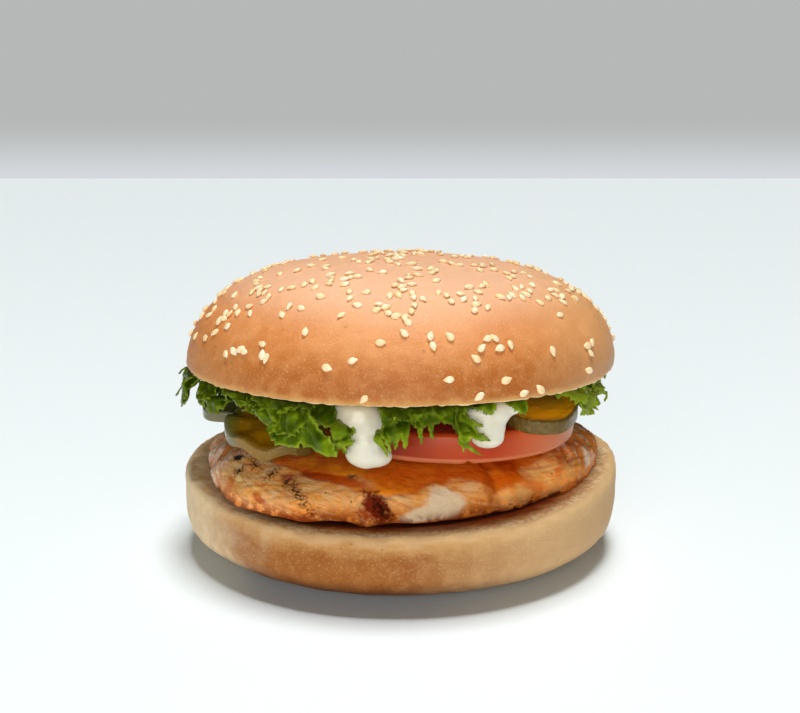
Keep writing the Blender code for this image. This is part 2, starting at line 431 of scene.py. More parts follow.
sesame = {"length": 2.8, "width": 1.9, "thick": 1.1, "sunk": 0.18, "apart": 1.6, "seed": 21,
          "topGroups": 112, "topRadius": 50, "topSpread": 2.8, "frontGroups": 26, "frontRadius": (18, 46),
          "frontAngle": (-150, -30), "sideGroups": 54, "sideTop": 73, "sideDrop": 15, "sideSpread": 2.2,
          "strays": ((-98, 52.3), (-79, 56.6), (-72, 52.4), (-65, 55.6), (-60.5, 52.2), (-56, 52.6),
                     (-38, 54.5), (-101, 60.6), (-107, 58.8), (-124, 59.4), (-138, 58.8), (-72, 60.8),
                     (-62, 63.0), (-50, 60.5), (40, 58), (75, 61), (110, 56), (140, 62), (165, 57),
                     (15, 61), (-10, 58), (-160, 60))}
outside, above = 80, 100     # how far from the middle a falling seed starts

seedModel = ballPiece("seed_model", 12, 8)
for vertex in seedModel.data.vertices:
    side, up, along = vertex.co
    taper = 1 - 0.5 * smooth(along, -0.2, 1.0)
    vertex.co = Vector((along * sesame["length"] / 2, side * taper * sesame["width"] / 2,
                        up * taper ** 0.5 * sesame["thick"] / 2)) * mm

seedlings = []
taken = []
dice = random.Random(sesame["seed"])
crownTree = BVHTree.FromObject(crownPiece, bpy.context.evaluated_depsgraph_get())


def placeSeed(landing, normal):
    if any((landing - other).length < sesame["apart"] * mm for other in taken):
        return
    taken.append(landing)
    tilt = Matrix.Rotation(dice.uniform(-0.3, 0.3), 4, "X")
    tilt = tilt @ Matrix.Rotation(dice.uniform(-0.2, 0.2), 4, "Y")
    spin = Matrix.Rotation(dice.uniform(0, turn), 4, "Z")
    lift = normal * (sesame["thick"] / 2 - sesame["sunk"] - dice.uniform(0, 0.1)) * mm
    stand = normal.to_track_quat("Z", "Y").to_matrix().to_4x4()
    size = Matrix.Scale(dice.uniform(0.86, 1.08), 4)
    seedlings.append(copied(seedModel, Matrix.Translation(landing + lift) @ stand @ spin @ tilt @ size))


for angle, height in sesame["strays"]:
    way = Vector((*polar(1, math.radians(angle)), 0))
    landing, normal = crownTree.ray_cast(way * outside * mm + Vector((0, 0, height)) * mm, -way)[:2]
    placeSeed(landing, normal)


def strewGroup(point, way, around):
    sideways = way.orthogonal().normalized()
    for seed in range(dice.choice((1, 1, 2, 2, 3, 4))):
        spread = Matrix.Rotation(dice.uniform(0, turn), 3, way) @ sideways * abs(dice.gauss(0, around))
        landing, normal = crownTree.ray_cast((point + spread) * mm, way)[:2]
        if landing is not None:
            placeSeed(landing, normal)


down = Vector((0, 0, -1))
for group in range(sesame["topGroups"]):
    radius, angle = sesame["topRadius"] * dice.uniform(0, 1) ** 0.55, dice.uniform(0, turn)
    strewGroup(Vector((*polar(radius, angle), above)), down, sesame["topSpread"])
for group in range(sesame["frontGroups"]):
    radius, angle = dice.uniform(*sesame["frontRadius"]), math.radians(dice.uniform(*sesame["frontAngle"]))
    strewGroup(Vector((*polar(radius, angle), above)), down, sesame["topSpread"])
for group in range(sesame["sideGroups"]):
    way = Vector((*polar(1, dice.uniform(0, turn)), 0))
    height = sesame["sideTop"] - sesame["sideDrop"] * dice.uniform(0, 1) ** 1.5
    strewGroup(way * outside + Vector((0, 0, height)), -way, sesame["sideSpread"])
seedPiece = joined("sesame_seeds", seedlings)
bpy.data.objects.remove(seedModel)
print("seeds strewn:", len(taken))

seedSkin, tree, shader = newMaterial("sesame_hull", {"Roughness": 0.4})
place = millimetres(tree)
blotch = soft(place, 3.0, 0.35, 0.65)
cloudy = soft(place, 0.6, 0.4, 0.7)
tone = blendColour(blotch, colour(250, 234, 200), colour(244, 214, 160))
tone = blendColour(times(cloudy, 0.4), tone, colour(228, 188, 126))
finish(shader, tone, cloudy, 0.05, 0.3)
finishPiece(seedPiece, seedSkin, "bun")

# bun heel: a rounded crust side, an uneven rim and a dished cut face

heelLow, heelHigh, _ = span("bun_heel")
heel = {"radius": (heelHigh.x - heelLow.x) / 2, "base": 38.5, "widest": 10.2, "rim": 57.7, "rimFront": 19.4,
        "rimBack": 24.0, "rimLeft": 23.2, "rimRight": 25.2, "roundOver": 2.6, "dish": 15.4,
        "dishRadius": 36.0, "segments": 360, "rings": 180, "cutShare": 0.42, "rimShare": 0.60,
        "sideShare": 0.88, "unevenness": 0.35, "dimples": 0.14, "crumb": 0.15, "ragged": 0.35}


def rimHeight(angle):
    back, right = math.sin(angle), math.cos(angle)
    sides = (heel["rimLeft"] + heel["rimRight"]) / 2
    slope = (heel["rimBack"] - heel["rimFront"]) / 2
    dip = sides - (heel["rimBack"] + heel["rimFront"]) / 2
    lean = (heel["rimRight"] - heel["rimLeft"]) / 2
    return sides + slope * back + lean * right - dip * back ** 2 - 0.9 * math.sin(2 * angle) ** 2


def heelTop(x, y):
    rise = smooth(math.hypot(x, y), heel["dishRadius"], heel["rim"]) ** 0.75
    return heel["dish"] + (rimHeight(math.atan2(y, x)) - heel["dish"]) * rise


def heelSurface(x, y, z):
    angle = math.atan2(y, x)
    down = math.acos(max(-1.0, min(1.0, z))) / math.pi
    cut, rim, side = heel["cutShare"], heel["rimShare"], heel["sideShare"]
    if down < cut:
        px, py = polar(heel["rim"] * (down / cut) ** 0.9, angle)
        return px, py, heelTop(px, py)
    lift = rimHeight(angle) - heel["rimFront"]
    if down < rim:
        share = (down - cut) / (rim - cut)
        turned = min(1.0, share / 0.45) * math.pi / 2
        radius = heel["rim"] + (heel["radius"] - heel["rim"]) * math.sin(turned)
        height = heel["rimFront"] - heel["roundOver"] * (1 - math.cos(turned))
        height -= (height - heel["widest"]) * smooth(share, 0.3, 1.0) * max(0.0, (share - 0.3) / 0.7)
    elif down < side:
        turned = (down - rim) / (side - rim) * math.pi / 2
        radius = heel["base"] + (heel["radius"] - heel["base"]) * max(0.0, math.cos(turned)) ** 1.05
        height = heel["widest"] * (1 - math.sin(turned) ** 1.04)
    else:
        radius = heel["base"] * (1 - (down - side) / (1 - side))
        height = 0.0
    height += lift * smooth(height, 6.5, 11.4)
    return *polar(radius, angle), height


def heelRelief(x, y, z, index):
    reach = math.hypot(x, y)
    if reach < heel["rim"] - 0.8 and z > 12:
        return heel["crumb"] * grit(x, y, z, 3.4, 2, 6.0) * smooth(reach, 20, 46)
    if z < 0.4:
        return 0.0
    edge = bump(z, rimHeight(math.atan2(y, x)) - 0.4, 1.4)
    swell = heel["unevenness"] * ripple(x, y, z, 24, 12.0)
    swell += heel["dimples"] * ripple(x, y, z * 1.5, 6, 7.7)
    swell += 0.06 * ripple(x, y, z, 1.8, 9.0)
    return (swell + heel["ragged"] * edge * grit(x, y, z, 2.6, 2, 3.0)) * smooth(z, 0.4, 4)


heelPiece = ballPiece("bun_heel_crust", heel["segments"], heel["rings"])
sculpt(heelPiece, heelSurface)
cutShare, rimDrop = [], []
for vertex in heelPiece.data.vertices:
    px, py, pz = vertex.co / mm
    radius = math.hypot(px, py)
    rimDrop.append(pz - rimHeight(math.atan2(py, px)))
    cutShare.append(smooth(radius, heel["rim"] + 0.8, heel["rim"] - 0.6) * smooth(pz, 12.5, 14.0))
relief(heelPiece, heelRelief)
paint(heelPiece, "cutFace", cutShare)
paint(heelPiece, "rimDrop", rimDrop)

heelCrust, tree, shader = newMaterial("heel_crust", {"Roughness": 0.6, "Specular IOR Level": 0.25})
place = millimetres(tree)
across, back, height = axesOf(place)
cutMask = painted(tree, "cutFace")
blotch = soft(place, 13.0, 0.38, 0.66, 4.0)
cloudy = soft(place, 4.0, 0.35, 0.7, 6.0)
fleck = soft(place, 0.6, 0.5, 0.72, 2.0)
flattened = addNode(tree, "VectorMath", {0: place, 1: (0.35, 0.35, 1.0)}, operation="MULTIPLY").outputs[0]
bands = soft(flattened, 2.4, 0.4, 0.66, 5.0)
pores = useGroup(specks, Vector=place, Spacing=2.4, Radius=0.16, Share=0.4)
crumbs = soft(place, 1.1, 0.45, 0.62, 3.0)
drop = plus(painted(tree, "rimDrop"), times(blotch, -0.6), times(bands, 1.6))
paleTop = ramp(drop, -5.4, -0.8)
paleRim = ramp(drop, -2.2, 0.2, 0.0, 0.6)
tone = blendColour(blotch, colour(156, 92, 24), colour(150, 82, 18))
tone = layered(tone,
               (times(paleTop, 0.75), (206, 156, 92)),
               (paleRim, (232, 198, 150)),
               (times(cloudy, 0.12), (214, 160, 100)),
               (times(bands, 0.28), (158, 92, 38)),
               (times(fleck, ramp(height, 4.0, 12.0, 0.08, 0.2)), (232, 192, 134)),
               (times(pores, 0.4), (120, 66, 26)),
               # darker toward the bottom: partly toasted crust, partly painted shade on the underside
               (ramp(plus(height, times(cloudy, 0.8)), 11.0, 2.5, 0.0, 0.95), (88, 42, 6)))
# the left and right sides are paler: partly floury crust, partly painted light from the bright sides
forward = ramp(plus(back, times(blotch, 10.0)), 34.0, -14.0, 0.35, 1.0)
leftSide = ramp(plus(across, times(cloudy, 5.0), times(blotch, 5.0)), -24.0, -54.0, 0.0, 0.95)
rightSide = ramp(plus(across, times(cloudy, 5.0)), -4.0, 46.0, 0.0, 0.62)
tone = layered(tone,
               (times(leftSide, forward), (236, 210, 168)),
               (times(rightSide, forward), (230, 194, 142)))
flat = addNode(tree, "CombineXYZ", {0: across, 1: back}).outputs[0]
reach = addNode(tree, "VectorMath", {0: flat}, operation="LENGTH").outputs["Value"]
# the bread at the left is kept free of soak: partly dry bread, partly painted light where the crown shades it
dry = ramp(across, -40.0, -50.0, 1.0, 0.0)
soak = times(ramp(plus(reach, times(cloudy, 3.0), times(back, 0.06)), 54.5, 49.0), dry)
# a dark band next to the fillet: juice stain and painted shade under the fillet
wet = times(ramp(plus(reach, times(cloudy, 1.6), times(back, 0.05)), 53.5, 48.5), dry)
bread = blendColour(cloudy, colour(250, 226, 182), colour(228, 184, 126))
bread = layered(bread,
                (times(crumbs, ramp(across, -50.0, -40.0, 0.15, 0.5)), (190, 136, 76)),
                (times(soak, 0.9), (206, 136, 62)),
                (times(soak, crumbs, 0.5), (158, 84, 34)),
                (times(wet, 0.85), (142, 62, 18)))
toast = times(ramp(plus(reach, times(cloudy, -1.6)), 53.6, 56.4), ramp(back, 0.0, 22.0, 0.0, 0.85))
bread = blendColour(toast, bread, colour(190, 124, 62))
tone = blendColour(cutMask, tone, bread)
grainy = soft(place, 0.35, 0.4, 0.7, 2.0)
finish(shader, tone, plus(times(grainy, 0.4), times(fleck, 0.5), times(bands, 0.8)), 0.15, 0.6)
finishPiece(heelPiece, heelCrust, "bun", "bun_heel")

# chicken fillet: a thick grilled breast that fills the heel, torn into strands at both ends

fillet = {"reach": (55.0, 54.0, 52.5, 51.0, 50.5, 50.5, 50.0, 50.0, 51.0, 52.0, 52.5, 53.0,
                    53.0, 53.0, 54.5, 57.0, 55.4, 48.6, 46.6, 45.4, 44.8, 47.6, 52.6, 54.6),
          # how far up the juices and sauce shine, along the front: (round from the front, up the side)
          "glazeEdge": ((-60, 17), (-30, 16), (-20, 12), (-13, 8.8), (-7, 6.4), (0, 6.2), (8, 8.2),
                        (15, 11.5), (20, 9), (26, 4.5), (33, 6.5), (40, 10), (60, 17)),
          "top": 32.0, "riseRight": 1.6, "middle": 19.4, "gap": 0.7, "segments": 400, "rings": 150,
          "lumps": 0.8, "fibre": 0.2, "arcRadius": 45.0}


def filletReach(angle):
    place = angle % turn / turn * len(fillet["reach"])
    first = int(place)
    return mix(fillet["reach"][first % 24], fillet["reach"][(first + 1) % 24], smooth(place - first, 0, 1))


def glazeShare(arc, up, x, y, z):
    edges = fillet["glazeEdge"]
    line = edges[0][1]
    for (a, low), (b, high) in zip(edges, edges[1:]):
        if a <= arc < b:
            line = mix(low, high, (arc - a) / (b - a))
    return smooth(up - line + 1.6 * grit(x, y, z, 5.0, 3, 4.0), -0.5, 1.4)


def filletSurface(x, y, z):
    angle = math.atan2(y, x)
    across = min(1.0, math.hypot(x, y)) ** (0.72 if z >= 0 else 0.22)
    reach = filletReach(angle)
    px, py = polar(reach * across, angle)
    height = abs(z) ** 0.62
    front = smooth(px, -20, 6) * smooth(py, 10, -20)
    gap = fillet["gap"] * (1 - 1.1 * front)
    middle = max(fillet["middle"] - 0.6 * front, heelTop(*polar(reach, angle)) + 2 * max(gap, 0.1))
    if z >= 0:
        top = fillet["top"] + fillet["riseRight"] * smooth(px, 44.0, 54.0)
        return px, py, middle + (top - middle) * height
    return px, py, middle + (heelTop(px, py) + gap - middle) * height


filletPiece = ballPiece("grilled_chicken", fillet["segments"], fillet["rings"])
unit = [vertex.co.copy() for vertex in filletPiece.data.vertices]
sculpt(filletPiece, filletSurface)

# skin: how far round from the front and how far up from the widest ring each point lies, in millimetres
columns = {}
for vertex in filletPiece.data.vertices:
    x, y, z = unit[vertex.index]
    angle = math.degrees(math.atan2(y, x)) if math.hypot(x, y) > 1e-4 else None
    if angle is not None:
        columns.setdefault(round(angle, 1), []).append((z, vertex.index))
skin = [(0.0, 0.0)] * len(unit)
for angle, column in columns.items():
    arc = math.radians((angle + 90 + 180) % 360 - 180) * fillet["arcRadius"]
    column.sort()
    ring = min(range(len(column)), key=lambda i: abs(column[i][0]))
    for way in (1, -1):
        up, last = 0.0, column[ring][1]
        for i in range(ring, len(column) if way > 0 else -1, way):
            here = column[i][1]
            up += way * (filletPiece.data.vertices[here].co - filletPiece.data.vertices[last].co).length / mm
            skin[here] = (arc, up)
            last = here


def filletRelief(x, y, z, index):
    arc, up = skin[index]
    bare = bump(arc, 13, 8) * bump(up, 4.0, 5.0)
    calm = 1 - 0.8 * max(bare, glazeShare(arc, up, x, y, z))
    swell = fillet["lumps"] * ripple(x, y, z, 15, 2.7) + 0.45 * ripple(x, y, z, 6, 1.2) * calm
    lean = 0.65 * smooth(arc, 0, -20) - 0.25
    along = arc * math.cos(lean) + up * math.sin(lean)
    across = up * math.cos(lean) - arc * math.sin(lean)
    strand = noise.noise(Vector((along / 9, across / 1.1, 0.3)))
    strand += 0.6 * noise.noise(Vector((along / 5, across / 0.55, 7.0)))
    swell += fillet["fibre"] * strand * calm
    ends = smooth(arc, -44, -50) * smooth(arc, -78, -66) + smooth(arc, 45, 50) * smooth(arc, 80, 68)
    drift = 1.6 * noise.noise(Vector((arc / 9, up / 7, 2.0)))
    steep = arc - 1.2 * up if arc > 0 else arc + 1.6 * up
    torn = 1 - 2.0 * abs(noise.noise(Vector((steep / 2.8 + drift, up / 14, 4.0))))
    torn += 0.5 * noise.noise(Vector((steep / 1.1 + drift, up / 9, 8.0)))
    swell += ends * (0.9 * torn - 0.45)
    seam = arc - 26.0 - 0.2 * (up - 4)
    swell -= 0.9 * bump(seam, 0, 1.5) * smooth(up, -6, 0)
    swell -= 0.8 * smooth(seam, -0.6, 1.2) * smooth(seam, 18, 5) * smooth(up, 6, 0)
    swell += 0.5 * bump(seam, 5, 4) * bump(up, 4, 5) + 0.4 * bump(seam, -6, 4) * bump(up, 9, 4)
    blister = bump(arc + 5.0 - 0.7 * (up - 3), 0, 3.4) * bump(up, 3.2, 4.8)
    swell += blister * (0.4 + 1.2 * grit(x, y, z, 1.6, 3, 5.0))
    return swell - 0.4 * bare


relief(filletPiece, filletRelief)
layer = filletPiece.data.attributes.new("skin", "FLOAT_VECTOR", "POINT")
for index, (arc, up) in enumerate(skin):
    layer.data[index].vector = (arc, up, 0.0)
shine = [glazeShare(*skin[vertex.index], *(vertex.co / mm)) for vertex in filletPiece.data.vertices]
paint(filletPiece, "glaze", shine)

grilled, tree, shader = newMaterial("grilled_chicken", {
    "Roughness": 0.4, "Specular IOR Level": 0.3, "Specular Tint": (1.0, 0.76, 0.3, 1),
    "Subsurface Weight": 0.12, "Subsurface Radius": (1.0, 0.45, 0.2), "Subsurface Scale": 0.0015})
place = millimetres(tree)
skinPlace = painted(tree, "skin", "Vector")
arc, up, _ = axesOf(skinPlace)
glaze = painted(tree, "glaze")
patch = soft(place, 6.0, 0.4, 0.6, 4.0)
small = soft(place, 2.2, 0.44, 0.62, 5.0)
strands = useGroup(fibres, Vector=skinPlace, Along=7.0, Across=0.8, Lean=0.35)
fine = useGroup(fibres, Vector=skinPlace, Along=3.0, Across=0.6, Lean=-0.4)
tornLeft = useGroup(fibres, Vector=skinPlace, Along=1.6, Across=9.0, Lean=-1.0)
tornRight = useGroup(fibres, Vector=skinPlace, Along=1.5, Across=8.0, Lean=0.88)
broad = soft(place, 10.0, 0.4, 0.62, 3.0)
peppers = useGroup(specks, Vector=place, Spacing=3.0, Radius=0.13, Share=0.3)
tone = blendColour(patch, colour(255, 226, 168), colour(255, 190, 106))
tone = layered(tone,
               (ramp(arc, 20.0, 32.0, 0.0, 0.6), (255, 190, 92)),
               (times(broad, 0.4), (255, 172, 76)))
golden = times(ramp(arc, -34.0, -24.0, 0.0, 0.5), ramp(arc, 26.0, 40.0, 1.0, 0.6))
tone = layered(tone,
               (golden, (228, 142, 58)),
               # darker and browner toward the bottom: partly browned meat, partly painted shade
               (ramp(plus(up, times(small, 2.0)), 6.0, 0.5, 0.0, 0.9), (190, 92, 22)),
               (times(small, 0.5), (250, 146, 44)))
lumpy = ramp(arc, 22.0, 30.0, 1.0, 0.15)
tone = layered(tone,
               (times(ramp(strands, 0.52, 0.72, 0.0, 0.3), lumpy), (255, 228, 176)),
               (times(ramp(strands, 0.47, 0.32, 0.0, 0.42), lumpy), (204, 96, 26)),
               (times(ramp(fine, 0.54, 0.74, 0.0, 0.18), lumpy), (255, 232, 196)),
               (times(ramp(fine, 0.46, 0.3, 0.0, 0.18), lumpy), (214, 108, 34)))
rightSide = ramp(arc, 24.0, 30.0)
lumps = soft(place, 5.0, 0.4, 0.66, 4.0)
# pale patches on the right: partly paler meat, partly painted highlight on the lumps
tone = layered(tone,
               (times(rightSide, lumps, 0.45), (255, 208, 132)),
               (times(rightSide, small, 0.35), (240, 128, 40)))
leftEnd = times(ramp(arc, -44.0, -50.0), ramp(arc, -78.0, -66.0), 0.85)
leftTone = blendColour(ramp(tornLeft, 0.38, 0.58), colour(232, 142, 84), colour(255, 236, 218))
leftTone = blendColour(times(patch, 0.3), leftTone, colour(240, 142, 64))
tone = blendColour(leftEnd, tone, leftTone)
rightEnd = times(ramp(arc, 46.0, 54.0), ramp(arc, 84.0, 72.0), 0.85)
# pale streaks on the torn right end: partly pale strands, partly painted highlight on their ridges
rightTone = blendColour(ramp(tornRight, 0.46, 0.62), colour(255, 150, 60), colour(255, 236, 212))
rightTone = blendColour(times(patch, 0.15), rightTone, colour(250, 130, 40))
tone = blendColour(rightEnd, tone, rightTone)
amber = blendColour(patch, colour(250, 142, 2), colour(230, 104, 0))
amber = layered(amber,
                (ramp(arc, -6.0, 4.0, 0.0, 0.45), (206, 84, 0)),
                (ramp(glaze, 0.95, 0.5), (222, 96, 6)))
tone = blendColour(times(glaze, 0.92), tone, amber)
# each mark: name, place and size on the skin, lean, raggedness, grain, tint, strength
marks = (
    ("paleFold", (-10, 10.5), (5.0, 2.0), 0.4, 0.15, 3.0, (222, 158, 104), 0.5),
    ("stripe", (-17.5, 12.4), (12, 2.0), 0.38, 0.1, 4.0, (188, 52, 2), 0.75),
    ("bareMeat", (11.2, 3.7), (6.6, 4.3), 0.0, 0.1, 3.0, (246, 220, 182), 0.95),
    ("bareTip", (6.0, 1.9), (6.8, 2.2), -0.16, 0.1, 3.0, (246, 220, 182), 0.95),
    ("bareTop", (10.4, 7.2), (3.2, 2.4), 0.2, 0.15, 3.0, (246, 220, 182), 0.9),
    ("blister", (-5.4, 3.6), (6.0, 3.2), 0.95, 0.3, 1.4, (122, 30, 8), 1.0),
    ("blisterChar", (-4.4, 3.6), (4.4, 1.5), 0.95, 0.8, 0.8, (50, 10, 5), 0.95),
    ("blisterRed", (-8.2, 2.2), (2.4, 1.2), 0.5, 0.5, 1.0, (160, 56, 14), 0.8),
    ("grillHalo", (-24.6, 8.8), (7.0, 2.2), 0.9, 0.3, 2.5, (214, 124, 66), 0.35),
    ("upperHalo", (-39.0, 10.4), (5.4, 3.4), 0.2, 0.3, 2.5, (226, 152, 92), 0.3),
    ("leftSpot", (-46.6, 9.8), (2.4, 1.7), 0.0, 0.25, 1.0, (26, 24, 28), 1.0),
    ("leftTrail", (-40.4, 8.0), (1.2, 1.9), -0.3, 0.9, 0.7, (60, 34, 22), 1.0),
    ("upperSpecks", (-39.0, 12.4), (3.2, 1.2), 0.1, 1.2, 0.6, (96, 46, 18), 1.0),
    ("sideSpecks", (-31.6, 12.0), (1.0, 2.8), -0.2, 1.1, 0.6, (80, 38, 18), 1.0),
    ("grillRed", (-27.8, 12.4), (2.1, 1.9), 0.0, 0.3, 1.2, (200, 100, 64), 0.9),
    ("grillTop", (-26.8, 10.4), (2.2, 0.8), 1.1, 0.8, 0.8, (54, 34, 32), 0.95),
    ("grillMark", (-22.4, 7.0), (5.6, 0.9), 0.9, 1.2, 0.7, (76, 38, 20), 0.95),
    ("greySpot", (-12.7, 12.6), (1.7, 1.1), 0.2, 0.5, 0.9, (62, 48, 44), 0.8),
    ("redLeft", (-30.0, 3.4), (1.1, 2.3), -1.0, 0.2, 2.0, (178, 62, 20), 0.75),
    ("edgeBrown", (-39.8, 2.6), (2.0, 4.4), -0.2, 0.4, 2.0, (222, 122, 56), 0.8),
    ("lowRed", (-21.4, 0.2), (4.4, 1.3), 0.0, 0.5, 1.2, (140, 40, 12), 0.8),
    ("seamStain", (24.6, 6.0), (2.0, 5.4), 0.3, 0.3, 2.4, (186, 80, 14), 0.55),
    ("rightStain", (36.0, 5.0), (5.0, 1.8), 0.5, 0.4, 2.0, (240, 112, 22), 0.6),
    ("backMark", (98, 8), (7.0, 1.4), 0.8, 0.9, 0.9, (66, 34, 22), 0.9),
    ("backMarkLeft", (-104, 9), (6.0, 1.3), -0.7, 0.9, 0.9, (76, 38, 22), 0.9),
    ("backStain", (124, 5), (6.0, 3.6), 0.3, 0.4, 2.0, (196, 84, 24), 0.6),
    ("tomatoStain", (31.0, 13.0), (5.0, 2.6), 0.3, 0.4, 2.0, (168, 62, 8), 0.6),
    ("endStain", (45.5, 7.0), (1.3, 5.0), 0.9, 0.3, 2.0, (220, 92, 20), 0.5),
    # rightPale: partly paler meat, partly painted highlight
    ("rightPale", (37.0, 9.0), (3.2, 2.2), 0.0, 0.4, 2.5, (255, 216, 140), 0.4),
)
burnt = 0.0
for name, at, size, lean, ragged, grain, tint, strength in marks:
    mask = useGroup(spot, Vector=skinPlace, Centre=(*at, 0.0), Size=(*size, 1.0), Lean=lean,
                    Ragged=ragged, Grain=grain)
    tone = blendColour(times(mask, strength), tone, colour(*tint))
    if name.startswith("blister"):
        burnt = plus(burnt, mask)
tone = blendColour(times(peppers, 0.75), tone, colour(90, 40, 16))
# dark along the bottom edge and underneath: partly juice, partly painted shade where the fillet meets the bun
under = ramp(plus(up, times(small, 1.2)), 0.4, -1.6)
tone = layered(tone,
               (ramp(plus(up, times(small, 1.6)), 2.6, -0.4, 0.0, 0.8), (132, 50, 8)),
               (times(under, 0.7), (120, 44, 8)))
sheen = ramp(glaze, 0.0, 1.0, 0.42, 0.16)
fibrous = times(strands, lumpy, ramp(glaze, 0.0, 1.0, 1.2, 0.2))
fineStrands = times(fine, lumpy, calc("SUBTRACT", 1.0, glaze), 0.6)
torn = plus(times(leftEnd, tornLeft), times(rightEnd, tornRight))
bumps = plus(fibrous, fineStrands, times(small, 0.6), torn)
finish(shader, tone, bumps, 0.25, 0.6, plus(sheen, times(burnt, 0.4)))
finishPiece(filletPiece, grilled, "chicken", "chicken_fillet")

# slices: tomato and pickles are discs with rounded edges

def discPoint(x, y, z, corner, cornerHeight):
    down = math.acos(max(-1.0, min(1.0, z))) / math.pi
    face, bend = 0.33, 0.07
    flip = 1 if down <= 0.5 else -1
    down = min(down, 1 - down)
    if down < face:
        return down / face * (1 - corner), flip
    if down < face + bend:
        turned = (down - face) / bend * math.pi / 2
        return 1 - corner + corner * math.sin(turned), flip * (1 - cornerHeight * (1 - math.cos(turned)))
    return 1.0, flip * (1 - cornerHeight) * (0.5 - down) / (0.5 - face - bend)


tomatoLow, tomatoHigh, tomatoMiddle = span("tomato_slice")
tomato = {"radius": (tomatoHigh.x - tomatoLow.x) / 2 - 0.7, "half": (tomatoHigh.z - tomatoLow.z) / 2,
          "left": 0.6, "segments": 240, "rings": 110, "bulge": 0.35, "tilt": 0.012, "corner": (0.035, 0.28)}


def tomatoSurface(x, y, z):
    across, level = discPoint(x, y, z, *tomato["corner"])
    angle = math.atan2(y, x)
    radius = tomato["radius"] * across * (1 + 0.006 * math.sin(3 * angle + 1) + 0.004 * math.sin(5 * angle))
    radius += tomato["bulge"] * (1 - level ** 2) * smooth(across, 0.9, 1.0)
    height = tomato["half"] * level
    if across < 0.95:
        chamber = smooth(math.sin(angle * 2.5 + 0.4), 0.1, 0.5) * bump(across, 0.62, 0.2)
        height -= math.copysign(0.12, level) * chamber
    px, py = polar(radius, angle)
    height += tomato["tilt"] * px - 0.15 * bump(px, 1.5, 4) * smooth(-py, 20, 32)
    nick = bump(px, 1.7, 0.7) * smooth(-py, 28, 31) * smooth(level, -0.6, -0.9)
    return tomatoMiddle.x - tomato["left"] + px, tomatoMiddle.y + py, tomatoMiddle.z + height + 0.8 * nick


tomatoPiece = ballPiece("tomato_round", tomato["segments"], tomato["rings"])
unit = [vertex.co.copy() for vertex in tomatoPiece.data.vertices]
sculpt(tomatoPiece, tomatoSurface)
rim = [discPoint(*co, *tomato["corner"])[0] for co in unit]
paint(tomatoPiece, "rind", [smooth(across, 0.962, 0.998) for across in rim])

tomatoSkin, tree, shader = newMaterial("tomato_flesh", {
    "Roughness": 0.3, "Specular IOR Level": 0.22, "Subsurface Weight": 0.15,
    "Subsurface Radius": (1.0, 0.3, 0.15), "Subsurface Scale": 0.002})
place = millimetres(tree)
across, _, height = axesOf(place)
rind = painted(tree, "rind")
blotch = soft(place, 12.0, 0.35, 0.68)
cloudy = soft(place, 2.5, 0.4, 0.7, 4.0)
flesh = blendColour(cloudy, colour(190, 40, 12), colour(206, 70, 26))
outer = blendColour(blotch, colour(180, 54, 9), colour(186, 68, 18))
outer = layered(outer,
                # painted shade: darker at the left end
                (ramp(across, 16.0, 0.0, 0.0, 0.7), (136, 30, 3)),
                # painted reflection: paler at the right end
                (ramp(across, 22.0, 40.0, 0.0, 0.75), (206, 122, 72)),
                # paler lower edge: partly paler skin edge, partly painted highlight
                (ramp(height, 34.2, 33.6, 0.0, 0.6), (214, 136, 92)))
tone = blendColour(rind, flesh, outer)
finish(shader, tone, cloudy, 0.04, 0.3, ramp(rind, 0.0, 1.0, 0.75, 0.3))
finishPiece(tomatoPiece, tomatoSkin, "tomato", "tomato_slice")

# each pickle slice: tilt, shift to the left, thickness, wave height, waves round, droop, seed
pickle = {"segments": 168, "rings": 84, "corner": (0.06, 0.35),
          "slices": {"pickle_right": (5.5, 1.3, 3.7, 0.25, 3, 0.6, 1.0),
                     "pickle_left": (13.0, 0.0, 3.2, 0.9, 7, 1.2, 4.4),
                     "pickle_far_left": (0.0, 0.0, 3.2, 0.3, 4, 0.5, 3.0)}}

pickleFlesh, tree, shader = newMaterial("pickle_flesh", {
    "Roughness": 0.22, "Specular IOR Level": 0.3, "Subsurface Weight": 0.2,
    "Subsurface Radius": (1.0, 0.6, 0.1), "Subsurface Scale": 0.002})
place = millimetres(tree)
across, _, height = axesOf(place)
rind = painted(tree, "rind")
around = painted(tree, "around")
blotch = soft(place, 6.0, 0.35, 0.68)
cloudy = soft(place, 1.6, 0.4, 0.7, 4.0)
pips = useGroup(specks, Vector=place, Spacing=3.0, Radius=0.3, Share=0.4)
stripes = addNode(tree, "TexNoise", {"W": around, "Scale": 1.4, "Detail": 3.0}, noise_dimensions="1D")
stripes = stripes.outputs["Fac"]
flesh = blendColour(blotch, colour(170, 118, 6), colour(146, 100, 4))
flesh = layered(flesh,
                # brighter flesh on the right slice: partly lighter flesh, partly painted glow of light
                # through it
                (ramp(across, 10.0, 34.0), (255, 178, 12)),
                (times(pips, 0.35), (206, 160, 70)))
outer = blendColour(ramp(stripes, 0.35, 0.65), colour(92, 72, 26), colour(108, 84, 34))
outer = layered(outer,
                (times(cloudy, 0.3), (150, 124, 70)),
                (ramp(plus(across, times(stripes, 6.0)), -20.0, -34.0, 0.0, 0.6), (156, 118, 44)),
                (ramp(across, -40.0, -43.0), (120, 116, 84)))
flesh = blendColour(ramp(across, -40.0, -43.0), flesh, colour(128, 116, 40))
tone = blendColour(rind, flesh, outer)
bumps = plus(cloudy, times(stripes, rind, 0.5))
finish(shader, tone, bumps, 0.12, 0.4, ramp(cloudy, 0.0, 1.0, 0.16, 0.3))

